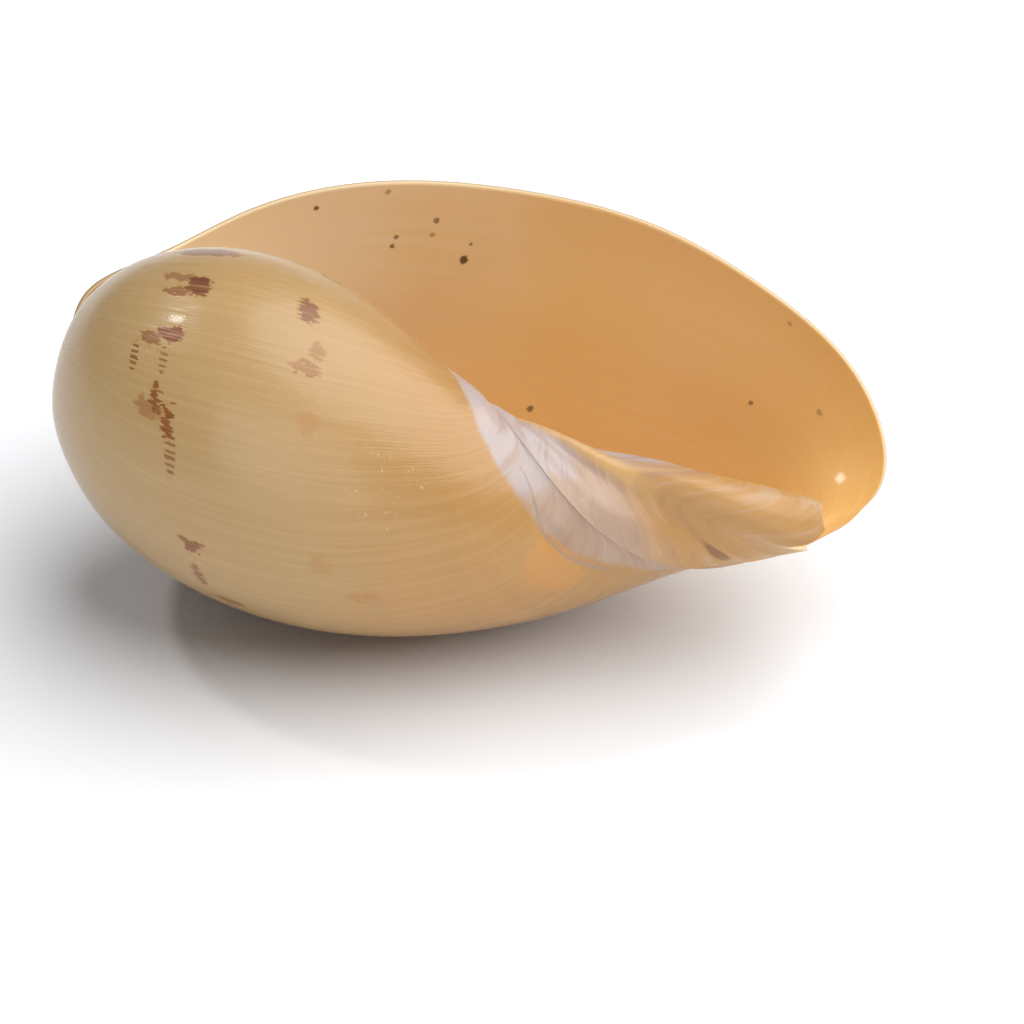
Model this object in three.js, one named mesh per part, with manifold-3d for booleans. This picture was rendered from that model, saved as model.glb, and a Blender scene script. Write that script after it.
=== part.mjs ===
// A melon shell, also called a bailer shell: a large, thin, smooth sea snail shell.
// Millimetres, +Z up. The shell lies at rest on its back, with the mouth upward.
//
// The whole shell grows from one line, the edge of its mouth. That edge turns round the
// coiling axis and shrinks towards the apex by a fixed ratio for each turn back in time,
// and the surface that it sweeps is the outside of the wall.
//
// Shell frame: x towards the outer lip, y towards the front (the open side), s along the
// coiling axis from the apex towards the canal tip. The apex is at the origin.
import * as THREE from 'three';
import { mergeVertices } from 'three/addons/utils/BufferGeometryUtils.js';
import Module from 'manifold-3d';

const wasm = await Module();
wasm.setup();

// Growth
const whorlRatio = 2.73; // how much the shell grows in one full turn
const firstTurn = -700; // degrees of turn at the oldest modelled wall, 0 at the mouth
const lipFlare = 0.034; // how far the last wall bends outward, as a share of its radius
const lipFlareTurn = 25; // degrees of turn over which the flare fades
const flareStart = 1; // station where the flare begins, by the apex
const flareFull = 3; // station from where it is full

// The mouth's edge at full growth, as points [distance out from the axis, degrees round it,
// distance along it]. It starts at the apex, runs round the outer lip and the notch of the
// canal, and ends at the free corner of the canal tip.
const mouthEdge = [
  [3, 0, -8],
  [24, 0, -10],
  [51, -5, 4],
  [72, 0, 26],
  [89, 4, 62],
  [96, 5, 104],
  [92, 6, 150],
  [77, 4, 192],
  [48, -5, 229],
  [32, -29, 234],
  [27, -65, 217],
  [21, -82, 214],
  [10, -152, 200],
  [8, -210, 219],
  [6, -261, 221],
  [5, -301, 217],
];

// Wall
const wallThickness = 3.2;
const lipThickness = 1.5;
const lipTaperTurn = 28; // degrees of turn over which the wall thins to the lip
const wallToAxis = 0.36; // near the axis the wall is at most this share of its radius

// Stations below count the points of that list, so 11.5 is halfway from the twelfth point
// to the thirteenth.

// The end of the pillar reaches on past the mouth's edge, most at one station
const pillarReach = { turn: 15, at: 12, halfWidth: 1.8 };

// The two folds on the pillar, and the hollow between the second one and the free edge.
// Each begins at one turn and has its full height from the other.
const plaits = [
  { at: 11.3, halfWidth: 0.9, height: 2.6, start: -100, full: -160 },
  { at: 12, halfWidth: 0.4, height: 3.2, start: -45, full: -115 },
  { at: 12.6, halfWidth: 0.6, height: -4.2, start: -45, full: -115 },
];

// The glaze that swells the last whorl beside the pillar, and the dimple at its end
const swells = [
  { turn: -262, turnWidth: 60, at: 8.7, halfWidth: 1.6, height: 4 },
  { turn: -162, turnWidth: 15, at: 8.3, halfWidth: 0.3, height: -2.6 },
];

// Solid pillar on the axis, as [s, radius]. Its top is the floor of the pit at the apex.
const pillar = [
  [-6, 0],
  [-5.4, 2],
  [-4, 3.4],
  [10, 3],
  [60, 3.2],
  [115, 4],
  [145, 3.4],
  [175, 3],
  [188, 1.8],
  [191, 0],
];

// Rest: the direction that points up while the shell lies on its back, the point of the
// wall that it lies on, and how deep the worn flat spot there is
const upWhileResting = [0.15, 0.986, -0.075];
const restPoint = [2, -73.7, 96];
const flatDepth = 0.8;

// Steps of the mesh: each stretch of turn, and the stations along the mouth's edge
const stretches = [
  { from: firstTurn, to: -540, steps: 6 },
  { from: -540, to: -360, steps: 9 },
  { from: -360, to: -180, steps: 18 },
  { from: -180, to: 0, steps: 24 },
];
const edgeStations = [
  0, 0.5, 1, 1.4, 1.8, 2.2, 2.6, 3, 3.4, 3.8, 4.2, 4.6, 5, 5.4, 5.8, 6.2, 6.6, 7, 7.35, 7.7, 8, 8.3,
  8.7, 9.1, 9.5, 9.9, 10.3, 10.7, 10.9, 11.1, 11.3, 11.6, 11.8, 12, 12.2, 12.5, 12.8, 13.2, 14, 15,
];

// A smooth curve through the values at the knots, straight at its two ends
function smoothThrough(knots, values) {
  const n = knots.length;
  const bend = new Array(n).fill(0);
  const ratio = new Array(n).fill(0);
  for (let i = 1; i < n - 1; i++) {
    const before = knots[i] - knots[i - 1];
    const after = knots[i + 1] - knots[i];
    const slopes = (values[i + 1] - values[i]) / after - (values[i] - values[i - 1]) / before;
    const pivot = 2 * (before + after) - before * ratio[i - 1];
    ratio[i] = after / pivot;
    bend[i] = (6 * slopes - before * bend[i - 1]) / pivot;
  }
  for (let i = n - 2; i > 0; i--) bend[i] -= ratio[i] * bend[i + 1];
  return (x) => {
    let i = 0;
    while (i < n - 2 && x > knots[i + 1]) i++;
    const h = knots[i + 1] - knots[i];
    const a = (knots[i + 1] - x) / h;
    const b = 1 - a;
    const curved = ((a ** 3 - a) * bend[i] + (b ** 3 - b) * bend[i + 1]) * h * h / 6;
    return a * values[i] + b * values[i + 1] + curved;
  };
}

const edgePoints = mouthEdge.map(([out, round, along]) => {
  const angle = THREE.MathUtils.degToRad(round);
  return new THREE.Vector3(out * Math.cos(angle), out * Math.sin(angle), along);
});

// Distance along the mouth's edge at each of its points, so that the cubic runs evenly
const edgeLengths = [0];
for (let i = 1; i < edgePoints.length; i++) {
  edgeLengths.push(edgeLengths[i - 1] + edgePoints[i].distanceTo(edgePoints[i - 1]));
}
const edgeCurves = ['x', 'y', 'z'].map((k) => smoothThrough(edgeLengths, edgePoints.map((p) => p[k])));

function pointOnEdge(station) {
  const i = Math.min(Math.floor(station), edgePoints.length - 2);
  const along = edgeLengths[i] + (station - i) * (edgeLengths[i + 1] - edgeLengths[i]);
  return edgeCurves.map((curve) => curve(along));
}

function growth(turn) {
  return whorlRatio ** (turn / 360);
}

// A point of the outside of the wall, before its relief
function outerPoint(turn, station) {
  const [x, y, s] = pointOnEdge(station);
  const size = growth(turn);
  const flare = lipFlare * THREE.MathUtils.smoothstep(station, flareStart, flareFull);
  const wide = size * (1 + flare * Math.exp(turn / lipFlareTurn));
  const angle = THREE.MathUtils.degToRad(turn);
  const cos = Math.cos(angle);
  const sin = Math.sin(angle);
  return new THREE.Vector3(wide * (x * cos - y * sin), wide * (x * sin + y * cos), size * s);
}

// The direction out of the wall
function outward(turn, station) {
  const last = edgePoints.length - 1;
  const low = Math.max(station - 0.05, 0);
  const high = Math.min(station + 0.05, last);
  const alongEdge = outerPoint(turn, high).sub(outerPoint(turn, low));
  const alongTurn = outerPoint(turn + 0.5, station).sub(outerPoint(turn - 0.5, station));
  return alongTurn.cross(alongEdge).normalize();
}

// A smooth hump: 1 in the middle, 0 from one half-width away
function hump(distance, halfWidth) {
  const share = Math.min(Math.abs(distance) / halfWidth, 1);
  return (1 - share * share) ** 2;
}

// How far the outside rises or sinks in folds and swells
function relief(turn, station) {
  let height = 0;
  for (const fold of plaits) {
    const risen = THREE.MathUtils.smoothstep(-turn, -fold.start, -fold.full);
    height += fold.height * risen * hump(station - fold.at, fold.halfWidth);
  }
  for (const swell of swells) {
    const away = Math.hypot((turn - swell.turn) / swell.turnWidth, (station - swell.at) / swell.halfWidth);
    height += swell.height * hump(away, 1);
  }
  return growth(turn) * height;
}

function thickness(turn, station, point) {
  const grown = Math.sqrt(growth(turn));
  const taper = THREE.MathUtils.smoothstep(-turn, 0, lipTaperTurn);
  const full = grown * THREE.MathUtils.lerp(lipThickness, wallThickness, taper);
  const onSide = Math.hypot(point.x, point.y);
  const nearPole = station < 2;
  return nearPole ? full : Math.min(full, wallToAxis * onSide);
}

// One stretch of the wall as a closed slab. Its vertices come in pairs, the outer and the
// inner side of the wall, row after row. Neighbouring stretches meet in the very same faces.
function wallStretch({ from, to, steps }) {
  const rows = edgeStations.length - 1;
  const corners = [];
  for (let i = 0; i <= steps; i++) {
    for (const station of edgeStations) {
      const end = to === 0 ? pillarReach.turn * hump(station - pillarReach.at, pillarReach.halfWidth) : to;
      const turn = THREE.MathUtils.lerp(from, end, i / steps);
      const outer = outerPoint(turn, station);
      const normal = outward(turn, station);
      const raised = relief(turn, station);
      const wall = thickness(turn, station, outer) - Math.min(raised, 0);
      const inner = outer.clone().addScaledVector(normal, -wall);
      outer.addScaledVector(normal, raised);
      corners.push(...outer.toArray(), ...inner.toArray());
    }
  }
  const faces = [];
  const quad = (a, b, c, d) => faces.push(a, b, c, a, c, d);
  const outerAt = (i, j) => 2 * (i * (rows + 1) + j);
  const innerAt = (i, j) => outerAt(i, j) + 1;
  for (let i = 0; i < steps; i++) {
    for (let j = 0; j < rows; j++) {
      quad(outerAt(i, j), outerAt(i + 1, j), outerAt(i + 1, j + 1), outerAt(i, j + 1));
      quad(innerAt(i, j), innerAt(i, j + 1), innerAt(i + 1, j + 1), innerAt(i + 1, j));
    }
    quad(outerAt(i, 0), innerAt(i, 0), innerAt(i + 1, 0), outerAt(i + 1, 0));
    quad(outerAt(i, rows), outerAt(i + 1, rows), innerAt(i + 1, rows), innerAt(i, rows));
  }
  for (let j = 0; j < rows; j++) {
    quad(outerAt(0, j), outerAt(0, j + 1), innerAt(0, j + 1), innerAt(0, j));
    quad(innerAt(steps, j + 1), outerAt(steps, j + 1), outerAt(steps, j), innerAt(steps, j));
  }
  const slab = new THREE.BufferGeometry();
  slab.setAttribute('position', new THREE.Float32BufferAttribute(corners, 3));
  slab.setIndex(faces);
  return slab;
}

// The pillar is turned on the axis, which is the lathe's Y and the shell's s
function pillarSolid() {
  const side = pillar.map(([s, radius]) => new THREE.Vector2(radius, s));
  const lathe = new THREE.LatheGeometry(side, 14);
  lathe.rotateX(Math.PI / 2);
  return lathe;
}

// Turns the shell frame to its rest, and puts the flat spot's centre at the origin
function restMatrix() {
  const up = new THREE.Vector3(...upWhileResting).normalize();
  const axis = new THREE.Vector3(0, 0, 1);
  const forward = axis.addScaledVector(up, -axis.dot(up)).normalize();
  const aside = new THREE.Vector3().crossVectors(up, forward);
  const turned = new THREE.Matrix4().makeBasis(forward, aside, up).transpose();
  const lowest = new THREE.Vector3(...restPoint).applyMatrix4(turned);
  const moved = new THREE.Matrix4().makeTranslation(-lowest.x, -lowest.y, -lowest.z - flatDepth);
  return moved.multiply(turned);
}

function toSolid(geometry) {
  const bare = geometry.clone();
  bare.deleteAttribute('normal');
  bare.deleteAttribute('uv');
  const welded = mergeVertices(bare, 1e-4);
  return new wasm.Manifold(new wasm.Mesh({
    numProp: 3,
    vertProperties: new Float32Array(welded.attributes.position.array),
    triVerts: new Uint32Array(welded.index.array),
  }));
}

function toGeometry(solid) {
  const mesh = solid.getMesh();
  const geometry = new THREE.BufferGeometry();
  geometry.setAttribute('position', new THREE.BufferAttribute(mesh.vertProperties, 3));
  geometry.setIndex(new THREE.BufferAttribute(mesh.triVerts, 1));
  geometry.computeVertexNormals();
  return geometry;
}

function shellSolid() {
  const rest = restMatrix();
  const pieces = [...stretches.map(wallStretch), pillarSolid()];
  const joined = pieces
    .map((piece) => toSolid(piece.applyMatrix4(rest)))
    .reduce((whole, piece) => whole.add(piece));
  const below = new THREE.BoxGeometry(400, 400, 20);
  below.translate(0, 0, -10);
  return joined.subtract(toSolid(below));
}

const shell = new THREE.Mesh(
  toGeometry(shellSolid()),
  new THREE.MeshStandardMaterial({ color: 0xd9a869, roughness: 0.3, metalness: 0 }),
);
shell.name = 'melon_shell';

const part = new THREE.Group();
part.add(shell);
export default part;
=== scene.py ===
import bpy
import math
import numpy as np
from mathutils import Matrix, Vector


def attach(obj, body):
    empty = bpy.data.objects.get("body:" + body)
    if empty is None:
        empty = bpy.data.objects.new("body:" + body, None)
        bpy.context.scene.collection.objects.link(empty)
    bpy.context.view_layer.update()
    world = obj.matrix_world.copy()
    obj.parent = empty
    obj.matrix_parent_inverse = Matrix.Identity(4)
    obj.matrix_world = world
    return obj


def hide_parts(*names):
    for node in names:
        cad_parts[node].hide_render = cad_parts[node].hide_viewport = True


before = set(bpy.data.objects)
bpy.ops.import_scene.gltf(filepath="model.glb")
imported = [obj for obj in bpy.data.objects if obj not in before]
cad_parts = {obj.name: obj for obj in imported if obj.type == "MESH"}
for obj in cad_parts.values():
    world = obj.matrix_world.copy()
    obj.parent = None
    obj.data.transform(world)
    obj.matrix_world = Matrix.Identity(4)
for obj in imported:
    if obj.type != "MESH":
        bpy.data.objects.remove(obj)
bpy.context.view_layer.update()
mm = 0.001  # metres

# Growth: the mouth's edge turns round the coiling axis and shrinks by a fixed ratio per turn
growth = {
    "whorlRatio": 2.73,
    "lipFlare": 0.034,
    "lipFlareTurn": 25.0,
    "flareStations": (1.0, 3.0),
    # out from the axis in mm, degrees round it, mm along it; from the apex round the lip to the canal tip
    "mouthEdge": [
        (3, 0, -8), (24, 0, -10), (51, -5, 4), (72, 0, 26), (89, 4, 62), (96, 5, 104), (92, 6, 150),
        (77, 4, 192), (48, -5, 229), (32, -29, 234), (27, -65, 217), (21, -82, 214), (10, -152, 200),
        (8, -210, 219), (6, -261, 221), (5, -301, 217),
    ],
    "upWhileResting": (0.15, 0.986, -0.075),
    "restPoint": (2, -73.7, 96),
    "flatDepth": 0.8,
}

# Wall: thickness in mm, and how finely the grid follows the turn and the mouth's edge
wall = {
    "full": 3.2,
    "lip": 1.5,
    "lipTaperTurn": 28.0,
    "shareOfRadius": 0.36,
    "turnSteps": 190,
    "turnAtShare": ((0, -700), (0.14, -420), (0.55, -170), (0.985, -1.8), (1, 0)),
    "edgeSteps": 168,
    "stationAtShare": ((0, 0), (0.5, 8), (0.68, 10.3), (0.9, 13.2), (1, 15)),
    "rimRounding": 38.0,
}

# The end of the pillar reaches on past the mouth's edge: degrees of turn, station, half width in stations
pillarReach = {"turn": 15.0, "station": 12.0, "half": 1.8}

# Folds on the pillar: where each runs along the mouth's edge, its half width there, its height in mm,
# and the turns where it begins and where it is full
folds = ((11.3, 0.9, 2.6, -100, -160), (12.0, 0.4, 3.2, -45, -115), (12.6, 0.6, -4.2, -45, -115))

# Broad swell of the glaze beside the pillar, and the dimple at its end:
# turn, its half width, station, its half width, height in mm
swells = ((-262, 60, 8.7, 1.6, 4.0), (-162, 15, 8.3, 0.3, -2.6))


def smoothThrough(knots, values):
    # natural cubic: returns a function of an array
    n = len(knots)
    h = np.diff(knots)
    slope = np.diff(values) / h
    system = np.eye(n)
    right = np.zeros(n)
    for i in range(1, n - 1):
        system[i, i - 1:i + 2] = h[i - 1], 2 * (h[i - 1] + h[i]), h[i]
        right[i] = 6 * (slope[i] - slope[i - 1])
    bend = np.linalg.solve(system, right)

    def curve(x):
        i = np.clip(np.searchsorted(knots, x) - 1, 0, n - 2)
        a = (knots[i + 1] - x) / h[i]
        b = 1 - a
        curved = (a**3 - a) * bend[i] + (b**3 - b) * bend[i + 1]
        return a * values[i] + b * values[i + 1] + curved * h[i]**2 / 6

    return curve


def makeEdge():
    out, around, along = np.array(growth["mouthEdge"], float).T
    points = np.stack([out * np.cos(np.radians(around)), out * np.sin(np.radians(around)), along], 1)
    lengths = np.concatenate([[0], np.cumsum(np.linalg.norm(np.diff(points, axis=0), axis=1))])
    curves = [smoothThrough(lengths, points[:, k]) for k in range(3)]
    return lambda station: [curve(np.interp(station, np.arange(len(lengths)), lengths)) for curve in curves]


edgeAt = makeEdge()


def smooth(x, low, high):
    t = np.clip((x - low) / (high - low), 0, 1)
    return t * t * (3 - 2 * t)


def hump(distance, halfWidth):
    share = np.minimum(np.abs(distance) / halfWidth, 1)
    return (1 - share * share) ** 2


def sizeAt(turn):
    return growth["whorlRatio"] ** (turn / 360)


def outerPoint(turn, station):
    # outside of the wall in the shell's own frame, mm
    x, y, s = edgeAt(station)
    size = sizeAt(turn)
    flare = growth["lipFlare"] * smooth(station, *growth["flareStations"])
    wide = size * (1 + flare * np.exp(turn / growth["lipFlareTurn"]))
    angle = np.radians(turn)
    return np.stack([
        wide * (x * np.cos(angle) - y * np.sin(angle)),
        wide * (x * np.sin(angle) + y * np.cos(angle)),
        size * s,
    ], 1)


def outward(turn, station):
    high = np.minimum(station + 0.05, 15)
    low = np.maximum(station - 0.05, 0)
    alongEdge = outerPoint(turn, high) - outerPoint(turn, low)
    alongTurn = outerPoint(turn + 0.5, station) - outerPoint(turn - 0.5, station)
    normal = np.cross(alongTurn, alongEdge)
    return normal / np.linalg.norm(normal, axis=1)[:, None]


def reliefAt(turn, station):
    height = 0
    for at, half, tall, start, full in folds:
        height = height + tall * smooth(-turn, -start, -full) * hump(station - at, half)
    for atTurn, turnHalf, atStation, stationHalf, tall in swells:
        away = np.hypot((turn - atTurn) / turnHalf, (station - atStation) / stationHalf)
        height = height + tall * hump(away, 1)
    return sizeAt(turn) * height


def thicknessAt(turn, station):
    point = outerPoint(turn, station)
    taper = smooth(-turn, 0, wall["lipTaperTurn"])
    full = np.sqrt(sizeAt(turn)) * (wall["lip"] + (wall["full"] - wall["lip"]) * taper)
    nearAxis = wall["shareOfRadius"] * np.hypot(point[:, 0], point[:, 1])
    return np.where(station < 2, full, np.minimum(full, nearAxis))


def restMatrix():
    up = Vector(growth["upWhileResting"]).normalized()
    axis = Vector((0, 0, 1))
    forward = (axis - up * axis.dot(up)).normalized()
    aside = up.cross(forward)
    turned = Matrix((forward, aside, up))
    lowest = turned @ Vector(growth["restPoint"])
    return np.array(turned), np.array(lowest) + np.array((0, 0, growth["flatDepth"]))


restTurn, restShift = restMatrix()


def toRest(points):
    return (points @ restTurn.T - restShift) * mm


def deselectAll():
    if bpy.context.object and bpy.context.object.mode != "OBJECT":
        bpy.ops.object.mode_set(mode="OBJECT")
    bpy.ops.object.select_all(action="DESELECT")


def setFloats(mesh, name, values):
    layer = mesh.attributes.get(name) or mesh.attributes.new(name, "FLOAT", "POINT")
    layer.data.foreach_set("value", np.asarray(values, np.float32))


def getFloats(mesh, name):
    values = np.empty(len(mesh.vertices), np.float32)
    mesh.attributes[name].data.foreach_get("value", values)
    return values.astype(float)


def setOnFaces(mesh, name, *values):
    # one number, or a vector of three, for every face
    kind, key = ("FLOAT", "value") if len(values) == 1 else ("FLOAT_VECTOR", "vector")
    layer = mesh.attributes.new(name, kind, "FACE")
    layer.data.foreach_set(key, np.stack(values, axis=1).astype(np.float32).ravel())


def faceMeans(mesh, name):
    corners = np.empty(len(mesh.loops), np.int32)
    mesh.loops.foreach_get("vertex_index", corners)
    sides = np.empty(len(mesh.polygons), np.int32)
    mesh.polygons.foreach_get("loop_total", sides)
    faces = np.repeat(np.arange(len(sides)), sides)
    return np.bincount(faces, getFloats(mesh, name)[corners], len(sides)) / sides


def growWall():
    # a flat grid, one way the turn and the other way the mouth's edge, carried onto the growth law
    deselectAll()
    bpy.ops.mesh.primitive_grid_add(x_subdivisions=wall["turnSteps"], y_subdivisions=wall["edgeSteps"], size=1)
    shell = bpy.context.object
    shell.name = "melonShell"
    mesh = shell.data
    flat = np.empty(len(mesh.vertices) * 3)
    mesh.vertices.foreach_get("co", flat)
    flat = flat.reshape(-1, 3)
    turn = np.interp(flat[:, 0] + 0.5, *np.array(wall["turnAtShare"], float).T)
    station = np.interp(flat[:, 1] + 0.5, *np.array(wall["stationAtShare"], float).T)
    lastHalfTurn = np.clip(turn / 180 + 1, 0, 1)
    nearPillar = hump(station - pillarReach["station"], pillarReach["half"])
    turn = turn + lastHalfTurn * pillarReach["turn"] * nearPillar
    mesh.vertices.foreach_set("co", toRest(outerPoint(turn, station)).ravel())
    setFloats(mesh, "turn", turn)
    setFloats(mesh, "station", station)
    raised = reliefAt(turn, station)
    thickness = thicknessAt(turn, station) - np.minimum(raised, 0)
    thickest = float(thickness.max())
    group = shell.vertex_groups.new(name="wallThickness")
    for i, share in enumerate(thickness / thickest):
        group.add([i], float(share), "REPLACE")

    solid = shell.modifiers.new("wall", "SOLIDIFY")
    solid.thickness = thickest * mm
    solid.offset = -1
    solid.use_even_offset = False
    solid.vertex_group = "wallThickness"
    bpy.ops.object.modifier_apply(modifier=solid.name)
    shell.vertex_groups.clear()

    # the first vertices are still the outside: fold and dimple them
    outside = np.arange(len(mesh.vertices)) < len(turn)
    place = np.empty(len(mesh.vertices) * 3)
    mesh.vertices.foreach_get("co", place)
    place = place.reshape(-1, 3)
    place[outside] = toRest(outerPoint(turn, station) + outward(turn, station) * raised[:, None])
    place[:, 2] = np.maximum(place[:, 2], 0)  # the worn flat spot
    mesh.vertices.foreach_set("co", place.ravel())
    setFloats(mesh, "side", np.where(outside, 0.0, 1.0))
    mesh.update()
    return shell


def roundRims(shell):
    deselectAll()
    shell.select_set(True)
    bpy.context.view_layer.objects.active = shell
    side = getFloats(shell.data, "side")
    for face in shell.data.polygons:
        touched = [side[i] for i in face.vertices]
        face.select = max(touched) > 0.5 and min(touched) < 0.5
    bpy.ops.object.mode_set(mode="EDIT")
    bpy.ops.mesh.select_mode(type="FACE")
    bpy.ops.mesh.region_to_loop()
    bpy.ops.mesh.bevel(offset_type="PERCENT", offset_pct=wall["rimRounding"], segments=3, profile=0.5)
    bpy.ops.object.mode_set(mode="OBJECT")
    deselectAll()


# Solid pillar on the axis: distance along it and radius, in mm. Its end is the floor of the pit at the apex
pillar = {
    "outline": (
        (-6, 0), (-5.4, 2), (-4, 3.4), (10, 3), (60, 3.2), (115, 4), (145, 3.4), (175, 3), (188, 1.8), (191, 0),
    ),
    "segments": 32,
    "rings": 80,
    "turn": -360.0,
    "glazedFrom": 100,  # mm along it: the glaze's colours begin here
    "glazedStation": 13.0,
}


def fillPillar(shell):
    # a ball, drawn out along the axis to the pillar's outline
    deselectAll()
    bpy.ops.mesh.primitive_uv_sphere_add(segments=pillar["segments"], ring_count=pillar["rings"], radius=1)
    core = bpy.context.object
    points = np.empty(len(core.data.vertices) * 3)
    core.data.vertices.foreach_get("co", points)
    points = points.reshape(-1, 3)
    around = np.hypot(points[:, 0], points[:, 1])
    places, radii = np.array(pillar["outline"], float).T
    along = places[0] + (np.arccos(np.clip(-points[:, 2], -1, 1)) / np.pi) * (places[-1] - places[0])
    radius = np.interp(along, places, radii)
    points[:, :2] *= (radius / np.maximum(around, 1e-9))[:, None]
    points[:, 2] = along
    core.data.vertices.foreach_set("co", toRest(points).ravel())
    count = len(core.data.vertices)
    setFloats(core.data, "turn", np.full(count, pillar["turn"]))
    setFloats(core.data, "station", np.where(along > pillar["glazedFrom"], pillar["glazedStation"], 0.0))
    setFloats(core.data, "side", np.zeros(count))
    deselectAll()
    core.select_set(True)
    shell.select_set(True)
    bpy.context.view_layer.objects.active = shell
    bpy.ops.object.join()
    deselectAll()


def finishShape(shell):
    deselectAll()
    shell.select_set(True)
    bpy.context.view_layer.objects.active = shell
    bpy.ops.object.mode_set(mode="EDIT")
    bpy.ops.mesh.select_all(action="SELECT")
    bpy.ops.mesh.remove_doubles(threshold=0.01 * mm)
    bpy.ops.object.mode_set(mode="OBJECT")
    bpy.ops.object.shade_smooth()
    deselectAll()
    print("shell wall:", len(shell.data.polygons), "faces")


class Wire:
    # a socket that can be added, subtracted and multiplied in Python expressions
    def __init__(self, tree, socket):
        self.tree = tree
        self.socket = socket

    def math(self, operation, *others):
        return node(self.tree, "ShaderNodeMath", {"operation": operation}, self, *others)

    def __add__(self, other): return self.math("ADD", other)
    def __radd__(self, other): return self.math("ADD", other)
    def __sub__(self, other): return self.math("SUBTRACT", other)
    def __rsub__(self, other): return node(self.tree, "ShaderNodeMath", {"operation": "SUBTRACT"}, other, self)
    def __mul__(self, other): return self.math("MULTIPLY", other)
    def __rmul__(self, other): return self.math("MULTIPLY", other)
    def __abs__(self): return self.math("ABSOLUTE")


def node(tree, kind, settings, *inputs, out=0):
    made = tree.nodes.new(kind)
    for name, value in settings.items():
        setattr(made, name, value)
    for place, value in enumerate(inputs):
        key, value = value if isinstance(value, tuple) and isinstance(value[0], str) else (place, value)
        if isinstance(value, Wire):
            tree.links.new(value.socket, made.inputs[key])
        else:
            made.inputs[key].default_value = value
    return Wire(tree, made.outputs[out])


def ramp01(value, low, high):
    # 0 below low and 1 above high, smooth between; low may be the larger
    tree = value.tree
    settings = {"interpolation_type": "SMOOTHSTEP"}
    if low < high:
        return node(tree, "ShaderNodeMapRange", settings, value, low, high, 0.0, 1.0)
    return node(tree, "ShaderNodeMapRange", settings, value, high, low, 1.0, 0.0)


def mixColour(share, first, second):
    tree = share.tree
    made = tree.nodes.new("ShaderNodeMix")
    made.data_type = "RGBA"
    factor, start, end = made.inputs[0], made.inputs[6], made.inputs[7]
    for socket, value in ((factor, share), (start, first), (end, second)):
        if isinstance(value, Wire):
            tree.links.new(value.socket, socket)
        else:
            socket.default_value = (*value, 1)
    return Wire(tree, made.outputs[2])


blotEdge = (1.1, 0.7)  # a blot fades out between these shares of its half height and half width


def blot(here, atTurn, atStation, tall, half):
    # 1 in the middle of a spot on the grown surface, fading to 0 at its edge
    tree = here.tree
    away = node(tree, "ShaderNodeVectorMath", {"operation": "MULTIPLY_ADD"}, here,
                (1 / tall, 1 / half, 1), (-atTurn / tall, -atStation / half, 0))
    far = node(tree, "ShaderNodeVectorMath", {"operation": "LENGTH"}, away, out=1)
    return ramp01(far, *blotEdge)


def greatest(wires):
    # the largest of several values at each place
    top = wires[0]
    for wire in wires[1:]:
        top = top.math("MAXIMUM", wire)
    return top


def noiseAt(vector, scale, detail, roughness=0.5):
    return node(vector.tree, "ShaderNodeTexNoise", {}, ("Vector", vector), ("Scale", scale),
                ("Detail", detail), ("Roughness", roughness))


# Colours of the shell, linear
tones = {
    "outsideApex": (0.41, 0.262, 0.108),
    "outsideMiddle": (0.43, 0.262, 0.102),
    "outsideCanal": (0.43, 0.217, 0.062),
    "outsideOrange": (0.57, 0.26, 0.065),
    "paleLine": (0.6, 0.42, 0.22),
    "darkLine": (0.4, 0.23, 0.09),
    "insideLip": (0.9, 0.69, 0.4),
    "insideMiddle": (0.82, 0.47, 0.17),
    "insideDeep": (0.76, 0.37, 0.085),
    "insideYellow": (0.8, 0.46, 0.08),
    "glazeWhite": (0.45, 0.365, 0.335),
    "glazePink": (0.43, 0.285, 0.2),
    "glazeTan": (0.5, 0.262, 0.082),
    "foldYellow": (0.6, 0.34, 0.1),
    "ridgePale": (0.56, 0.41, 0.3),
    "ridgeBrown": (0.36, 0.18, 0.085),
    # painted highlight: pale cream along the rounded rims
    "rimHighlight": (0.78, 0.58, 0.34),
    "markBrown": (0.2, 0.055, 0.01),
    "markPurple": (0.15, 0.05, 0.028),
    "markOrange": (0.42, 0.16, 0.03),
    # painted grey shade for the crease round the end of the glaze
    "paintedCreaseShade": (0.3, 0.23, 0.19),
    "speck": (0.16, 0.07, 0.02),
    "scratch": (0.72, 0.58, 0.38),
}

# Brown marks: turn, station, half height in degrees, half width in stations, strength, share of purple
marks = [
    (-294, 4.3, 6, 0.62, 0.75, 1.0),
    (-267, 4.36, 6, 0.22, 1.0, 0.9),
    (-271, 4.02, 3, 0.3, 0.6, 0.9),
    (-263, 4.02, 2.5, 0.24, 0.7, 0.5),
    (-244, 4.12, 3.4, 0.24, 1.0, 0),
    (-241, 3.8, 3, 0.2, 0.75, 0),
    (-217, 3.92, 4, 0.24, 0.55, 0),
    (-221, 4.03, 6, 0.09, 0.9, 0),
    (-215, 4.22, 7, 0.09, 0.95, 0),
    (-176, 4.48, 3, 0.16, 0.9, 0),
    (-163, 4.46, 6, 0.08, 0.8, 0),
    (-151, 4.7, 3, 0.2, 0.7, 0),
    (-268, 5.92, 7, 0.15, 0.85, 0.45),
    (-251, 6.06, 4, 0.12, 0.5, 0),
    (-244, 5.92, 3, 0.2, 0.55, 0),
    (-226, 5.96, 4, 0.13, 0.3, 0),
    (-301, 6.27, 1.4, 0.26, 0.7, 0.2),
    (-167, 6.22, 3, 0.2, 0.35, 0),
    (-181, 5.9, 4, 0.14, 0.3, 0),
    (-118, 4.4, 5, 0.2, 0.6, 0),
    (-84, 4.55, 4, 0.16, 0.6, 0),
    (-52, 4.3, 5, 0.2, 0.5, 0),
    (-132, 6.05, 4, 0.12, 0.4, 0),
    (-98, 6.15, 4, 0.14, 0.35, 0),
    (-60, 6.0, 4, 0.12, 0.35, 0),
]

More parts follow.
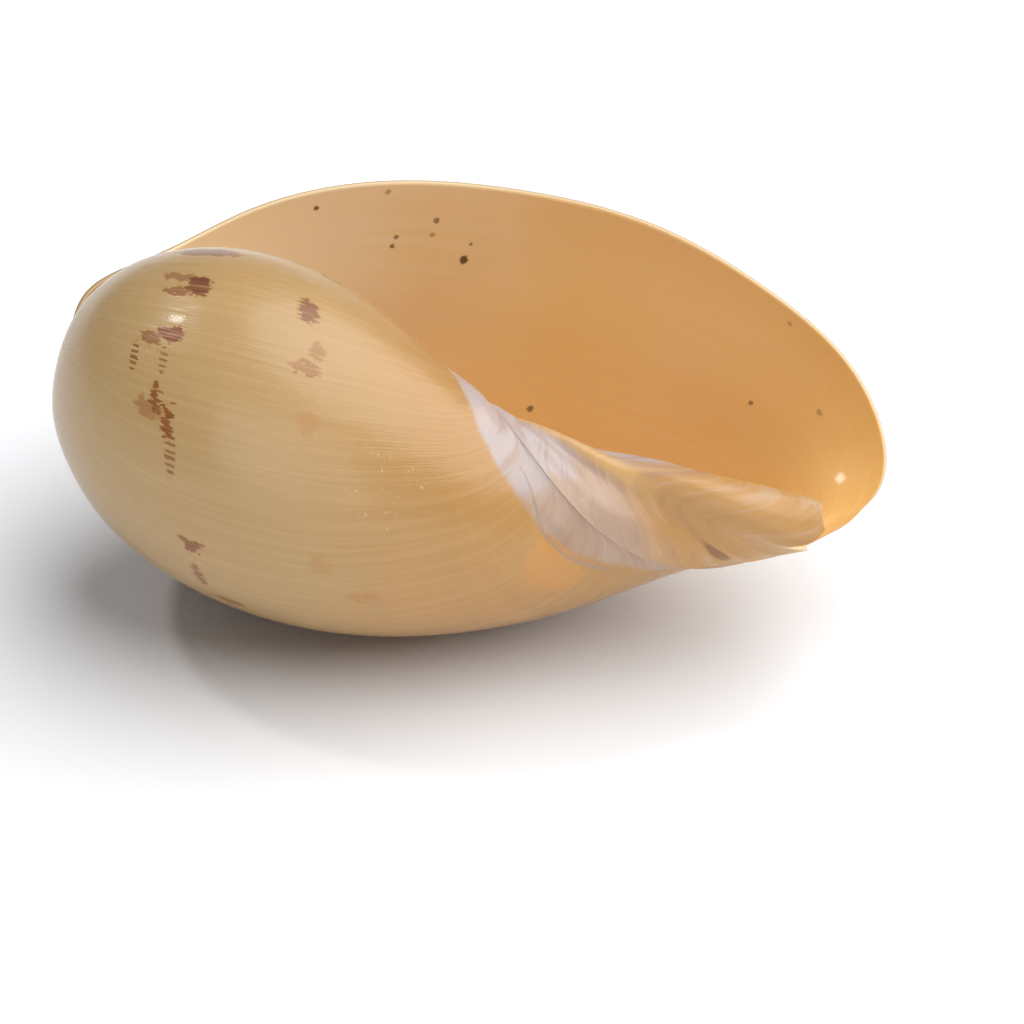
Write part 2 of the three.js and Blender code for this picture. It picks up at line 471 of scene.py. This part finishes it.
# Three tails of short bars between the marks of the first row, in the same columns as the marks
tails = [
    (-232.5, 3.6, 7, 0.075, 0.85, 0),
    (-234.5, 4.07, 6, 0.065, 0.7, 0),
    (-206, 4.28, 9, 0.085, 0.85, 0),
]

# Stains beside the pillar and on its folds: turn, station, half height in degrees, half width in stations,
# strength, tone
stains = [
    (-150, 8.02, 17, 0.34, 0.55, "outsideOrange"),
    (-33, 11.05, 5, 0.28, 0.6, "markPurple"),
    (-52, 13.9, 24, 0.5, 0.5, "outsideOrange"),
]

# Specks on the inside: turn, station, radius in mm, strength
specks = [
    (-2, 4.08, 1.0, 0.5), (-4, 3.54, 1.1, 0.9), (-8, 4.49, 1.2, 0.7), (-11, 4.49, 0.9, 0.5),
    (-12, 4.22, 0.9, 0.7), (-14, 4.21, 1.0, 0.8), (-12, 4.8, 0.7, 0.7), (-15.5, 4.78, 1.6, 1.0),
    (-44, 5.71, 1.3, 0.8), (-24, 7.29, 1.1, 0.7), (-3, 7.16, 0.9, 0.4), (-14, 7.74, 1.3, 0.4),
]
degreePerMm = 0.62  # turn that 1 mm covers near the lip
stationPerMm = 0.0225  # and the share of a station
speckSpots = [
    (atTurn, atStation, radius * degreePerMm, radius * stationPerMm, strength, 0)
    for atTurn, atStation, radius, strength in specks
]

# Strands of spots that lie well apart, so that one blot in the material can draw a whole strand
markStrands = {"markA": marks[0::3], "markB": marks[1::3], "markC": marks[2::3]}
speckStrands = {"speckA": speckSpots[0::2], "speckB": speckSpots[1::2]}

# Noise that follows the growth: cycles per degree, cycles per station, shift, detail, roughness
grownNoise = {
    "lines": (0.55, 0.35, 0, 3, 0.6),
    "fineLines": (2.6, 0.5, 4, 2, 0.6),
    "bands": (0.02, 5.0, 8, 2, 0.55),
    "fray": (0.25, 7.0, 12, 2, 0.6),
    "frayAside": (0.9, 2.5, 17, 3, 0.6),
    "glazeMargin": (0.06, 1.2, 21, 2, 0.5),
    "ridges": (0.09, 0.4, 30, 3, 0.62),
    "hairs": (0.35, 30, 40, 1, 0.5),
}

# Where the glaze begins: a station, and what is added to it between two turns
glazeEdge = {"station": 7.98, "steps": ((-230, -180, 0.18), (-165, -115, 0.36), (-110, -40, 1.4)), "soft": 0.2}

# The white of the glaze ends along a slanted line: turn on this station, degrees per station
glazeSlant = {"station": 8.44, "degreesPerStation": 23, "turns": (-192, -178)}

# Painted grey shade along the thin crease: a station, what is added to it between two turns, and its middle and
# reach in turn
creaseShadeLine = {
    "station": 8.2,
    "steps": ((-160, -195, 0.42), (-160, -100, 0.34)),
    "turn": -160,
    "reach": (42, 30),
    "width": (0.05, 0.01),
}

# Yellow on the pillar's fold and on its free edge: stations and turns where it fades in
foldYellowAt = {"fold": 12.02, "width": (0.3, 0.08), "turns": (-45, -75), "edge": (13.8, 14.5)}

# Pale scratches lie in one blot: turn, station, half height, half width
scratchPatch = (-207, 6.75, 17, 0.55)

# How far noise moves the edges of the marks: degrees along the turn, stations aside, and aside for the
# bars, which are nearly straight; then the bars' waves in radians per degree, and how far noise shifts them
fray = {"turn": 9, "aside": 0.4, "barsAside": 0.1, "waves": 2.9, "tilt": 5}

gloss = {"rough": 0.22, "growthLines": 0.06, "inside": 0.2, "glaze": 0.12, "ior": 1.5, "specular": 0.4,
         "coat": 0.15, "coatRough": 0.08}

# Fine relief: how much of each noise, less of it inside, and the glaze's ridges between two stations
relief = {"lines": 0.5, "fineLines": 0.35, "bands": 0.15, "lessInside": 0.75, "ridges": 2.4,
          "ridgesFrom": (8.2, 8.6), "strength": 0.25, "depth": 0.0012}


def tellFaces(shell):
    # every face is told the nearest spot of each strand
    mesh = shell.data
    turn, station = faceMeans(mesh, "turn"), faceMeans(mesh, "station")
    for name, spots in {**markStrands, **speckStrands, "tails": tails}.items():
        far = [np.hypot((turn - spot[0]) / spot[2], (station - spot[1]) / spot[3]) for spot in spots]
        nearest = np.array(spots, float)[np.argmin(far, axis=0)]
        atTurn, atStation, tall, half, strength, purpleShare = nearest.T
        setOnFaces(mesh, name + "Scale", 1 / tall, 1 / half, 0 * tall)
        setOnFaces(mesh, name + "Shift", -atTurn / tall, -atStation / half, 0 * tall)
        setOnFaces(mesh, name + "Strength", strength)
        if name in markStrands:
            setOnFaces(mesh, name + "Purple", purpleShare)


def shellMaterial():
    material = bpy.data.materials.new("shellGlaze")
    material.use_nodes = True
    tree = material.node_tree
    tree.nodes.clear()
    result = tree.nodes.new("ShaderNodeOutputMaterial")
    surface = tree.nodes.new("ShaderNodeBsdfPrincipled")
    tree.links.new(surface.outputs[0], result.inputs[0])

    place = node(tree, "ShaderNodeTexCoord", {}, out=3)

    def number(name):
        return node(tree, "ShaderNodeAttribute", {"attribute_name": name}, out=2)

    def vector(name):
        return node(tree, "ShaderNodeAttribute", {"attribute_name": name}, out=1)

    turn, station, side = number("turn"), number("station"), number("side")
    inner = ramp01(side, 0.35, 0.65)
    rimHighlight = ramp01(abs(side - 0.5), 0.5, 0.4)

    def join(first, second, third=0.0):
        return node(tree, "ShaderNodeCombineXYZ", {}, first, second, third)

    def grown(name):
        perDegree, perStation, shift, detail, roughness = grownNoise[name]
        return noiseAt(join(turn * perDegree, station * perStation, side * 3 + shift), 1.0, detail, roughness)

    def strand(name, here):
        # what blot does, for the spot of a strand that the face was told
        away = node(tree, "ShaderNodeVectorMath", {"operation": "MULTIPLY_ADD"}, here,
                    vector(name + "Scale"), vector(name + "Shift"))
        far = node(tree, "ShaderNodeVectorMath", {"operation": "LENGTH"}, away, out=1)
        return ramp01(far, *blotEdge) * number(name + "Strength")

    def stepped(start, steps):
        # a station that rises between pairs of turns
        for low, high, rise in steps:
            start = start + ramp01(turn, low, high) * rise
        return start

    cloud = noiseAt(place, 22, 2)
    wide = noiseAt(place, 9, 2)
    lines = grown("lines")
    fineLines = grown("fineLines")
    bands = grown("bands")

    # outside: greyer cream towards the apex, warmer towards the canal and the pillar
    along = station + (cloud - 0.5) * 1.6 + (lines - 0.5) * 0.8
    outside = mixColour(ramp01(along, 3.0, 6.2), tones["outsideApex"], tones["outsideMiddle"])
    outside = mixColour(ramp01(along, 5.6, 7.8), outside, tones["outsideCanal"])
    outside = mixColour(ramp01(wide + (bands - 0.5) * 0.5, 0.5, 0.75) * 0.45, outside, tones["outsideOrange"])
    outside = mixColour(ramp01(lines, 0.3, 0.75) * 0.2, outside, tones["paleLine"])
    outside = mixColour(ramp01(fineLines, 0.5, 0.85) * 0.2, outside, tones["darkLine"])
    outside = mixColour(ramp01(bands, 0.35, 0.7) * 0.16, outside, tones["outsideApex"])

    # brown marks, frayed along the growth lines
    aside = grown("frayAside") - 0.5
    frayStation = station + aside * fray["aside"]
    frayed = join(turn + (grown("fray") - 0.5) * fray["turn"], frayStation)
    straight = join(turn, station + aside * fray["barsAside"])
    shades = [strand(name, frayed) for name in markStrands]
    purple = greatest([shade * number(name + "Purple") for shade, name in zip(shades, markStrands)])
    bars = ramp01((turn * fray["waves"] + (aside + 0.5) * fray["tilt"]).math("SINE"), -0.5, 0.3)
    brown = greatest(shades + [strand("tails", straight) * bars])
    onOutside = 1 - inner
    brown = brown * (0.35 + 0.65 * ramp01(fineLines * 0.6 + lines * 0.4, 0.32, 0.52)) * onOutside
    markTone = mixColour(purple * 0.8, tones["markBrown"], tones["markPurple"])
    markTone = mixColour(ramp01(brown, 0.25, 0.6), tones["markOrange"], markTone)
    outside = mixColour(brown, outside, markTone)

    # glaze on the pillar: white by the last whorl, pinkish along the folds, tan towards the tip
    margin = stepped(glazeEdge["station"], glazeEdge["steps"]) + (grown("glazeMargin") - 0.5) * 0.2
    glaze = ramp01(station - margin, 0.0, glazeEdge["soft"])
    ridges = grown("ridges")
    slant = turn - (station - glazeSlant["station"]) * glazeSlant["degreesPerStation"] + (cloud - 0.5) * 16
    glazeTone = mixColour(ramp01(slant, *glazeSlant["turns"]), tones["glazeWhite"], tones["glazePink"])
    glazeTone = mixColour(ramp01(turn + (ridges - 0.5) * 60, -95, -50), glazeTone, tones["glazeTan"])
    glazeTone = mixColour(ramp01(ridges, 0.5, 0.66) * 0.35, glazeTone, tones["ridgePale"])
    glazeTone = mixColour(ramp01(ridges, 0.48, 0.34) * 0.4, glazeTone, tones["ridgeBrown"])
    onFold = ramp01(abs(station - foldYellowAt["fold"]), *foldYellowAt["width"])
    onFold = onFold * ramp01(turn, *foldYellowAt["turns"])
    onEdge = ramp01(station, *foldYellowAt["edge"])
    glazeTone = mixColour(onFold.math("MAXIMUM", onEdge) * 0.75, glazeTone, tones["foldYellow"])
    outside = mixColour(glaze, outside, glazeTone)
    soft = join(turn, frayStation)
    for *spot, strength, tone in stains:
        outside = mixColour(blot(soft, *spot) * strength, outside, tones[tone])

    # pale scratches on the front of the last whorl
    scratched = blot(straight, *scratchPatch) * ramp01(grown("hairs"), 0.66, 0.74)
    outside = mixColour(scratched * 0.5, outside, tones["scratch"])

    # painted grey shade along the thin crease round the end of the glaze
    creaseAt = stepped(creaseShadeLine["station"], creaseShadeLine["steps"]) + aside * 0.1
    creaseShadeMask = ramp01(abs(station - creaseAt), *creaseShadeLine["width"])
    creaseShadeMask = creaseShadeMask * ramp01(abs(turn - creaseShadeLine["turn"]), *creaseShadeLine["reach"])
    outside = mixColour(creaseShadeMask * 0.6, outside, tones["paintedCreaseShade"])

    # inside: apricot, deeper and more yellow towards the canal
    insideAlong = station + (cloud - 0.5) * 1.4
    inside = mixColour(ramp01(insideAlong, 3.4, 6.4), tones["insideLip"], tones["insideMiddle"])
    inside = mixColour(ramp01(turn + (wide - 0.5) * 30, -10, -70), inside, tones["insideDeep"])
    inside = mixColour(ramp01(insideAlong, 6.2, 8.2) * 0.8, inside, tones["insideDeep"])
    inside = mixColour(ramp01(wide + (lines - 0.5) * 0.3, 0.5, 0.7) * 0.35, inside, tones["insideYellow"])
    inside = mixColour(ramp01(lines, 0.35, 0.75) * 0.07, inside, tones["insideLip"])
    inside = mixColour(ramp01(station, 10.5, 12.5) * 0.6, inside, tones["glazePink"])
    inside = mixColour(ramp01(station, 2.2, 1.4), inside, tones["outsideApex"])

    ragged = (noiseAt(place, 1400, 1) - 0.5) * 0.7
    raggedSpot = join(turn + ragged, station + ragged * 0.04)
    dots = greatest([strand(name, raggedSpot) for name in speckStrands])
    inside = mixColour(dots * inner, inside, tones["speck"])

    colour = mixColour(inner, outside, inside)
    # painted highlight: pale cream along the rounded rims, away from the apex
    colour = mixColour(rimHighlight * 0.8 * ramp01(station, 1.7, 2.3), colour, tones["rimHighlight"])
    tree.links.new(colour.socket, surface.inputs["Base Color"])

    rough = gloss["rough"] + ramp01(lines, 0.4, 0.8) * gloss["growthLines"]
    rough = rough + inner * gloss["inside"] + glaze * onOutside * gloss["glaze"]
    tree.links.new(rough.socket, surface.inputs["Roughness"])
    surface.inputs["IOR"].default_value = gloss["ior"]
    surface.inputs["Specular IOR Level"].default_value = gloss["specular"]
    surface.inputs["Coat Weight"].default_value = gloss["coat"]
    surface.inputs["Coat Roughness"].default_value = gloss["coatRough"]

    height = lines * relief["lines"] + fineLines * relief["fineLines"] + bands * relief["bands"]
    height = height * (1 - inner * relief["lessInside"])
    height = height + ramp01(station, *relief["ridgesFrom"]) * onOutside * ridges * relief["ridges"]
    bump = node(tree, "ShaderNodeBump", {}, ("Strength", relief["strength"]),
                ("Distance", relief["depth"]), ("Height", height))
    tree.links.new(bump.socket, surface.inputs["Normal"])
    return material


# Camera and lights, in mm from the centre of the rest spot
camera = {"place": (227.9, -794.6, 673.8), "lookAt": (40.9, -21.5, 52.1), "roll": 0.9, "lens": 121.65}
lights = [
    {"name": "window", "place": (-980, 180, 1480), "size": 150, "watts": 4},
    {"name": "front", "place": (120, -1500, 700), "size": 1400, "watts": 11},
]
sky = {"from": (620, 260, 1000), "strength": 3.9, "softness": 80, "world": 0.14, "tint": (0.8, 0.95, 1.2)}
lightsAim = (30, 0, 50)
backdrop = {"size": 12000, "gap": 0.2, "tone": (0.93, 0.93, 0.93)}


def setCamera():
    made = bpy.data.cameras.new("photoCamera")
    made.lens = camera["lens"]
    made.sensor_width = 36
    made.clip_end = 50  # metres
    holder = bpy.data.objects.new("photoCamera", made)
    bpy.context.collection.objects.link(holder)
    place = Vector(camera["place"]) * mm
    facing = Vector(camera["lookAt"]) * mm - place
    rolled = Matrix.Rotation(math.radians(camera["roll"]), 4, "Z")
    turned = facing.to_track_quat("-Z", "Y").to_matrix().to_4x4()
    holder.matrix_world = Matrix.Translation(place) @ turned @ rolled
    bpy.context.scene.camera = holder


def addLights(shell):
    for light in lights:
        data = bpy.data.lights.new(light["name"], "AREA")
        data.size = light["size"] * mm
        data.energy = light["watts"]
        holder = bpy.data.objects.new(light["name"], data)
        bpy.context.collection.objects.link(holder)
        place = Vector(light["place"]) * mm
        holder.location = place
        holder.rotation_euler = (Vector(lightsAim) * mm - place).to_track_quat("-Z", "Y").to_euler()
        if light["name"] == "front":  # a fill for the shell alone, so that its shadow stays deep
            only = bpy.data.collections.new("filled")
            only.objects.link(shell)
            holder.light_linking.receiver_collection = only
    data = bpy.data.lights.new("sky", "SUN")
    data.energy = sky["strength"]
    data.angle = math.radians(sky["softness"])
    holder = bpy.data.objects.new("sky", data)
    bpy.context.collection.objects.link(holder)
    holder.rotation_euler = (-Vector(sky["from"])).to_track_quat("-Z", "Y").to_euler()
    world = bpy.data.worlds.new("studio")
    bpy.context.scene.world = world
    world.use_nodes = True
    world.node_tree.nodes["Background"].inputs[0].default_value = (*sky["tint"], 1)
    world.node_tree.nodes["Background"].inputs[1].default_value = sky["world"]


def layFloor():
    deselectAll()
    bpy.ops.mesh.primitive_plane_add(size=backdrop["size"] * mm, location=(0, 0, -backdrop["gap"] * mm))
    floor = bpy.context.object
    floor.name = "floor"
    material = bpy.data.materials.new("paper")
    material.use_nodes = True
    surface = material.node_tree.nodes["Principled BSDF"]
    surface.inputs["Base Color"].default_value = (*backdrop["tone"], 1)
    surface.inputs["Roughness"].default_value = 0.9
    surface.inputs["Specular IOR Level"].default_value = 0
    floor.data.materials.append(material)


bpy.context.scene.view_settings.view_transform = "Standard"
setCamera()
layFloor()

shell = growWall()
roundRims(shell)
fillPillar(shell)
finishShape(shell)
tellFaces(shell)
shell.data.materials.clear()
shell.data.materials.append(shellMaterial())
print("shell material ready")
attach(shell, "root")
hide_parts("melon_shell")

addLights(shell)
print("stage ready")
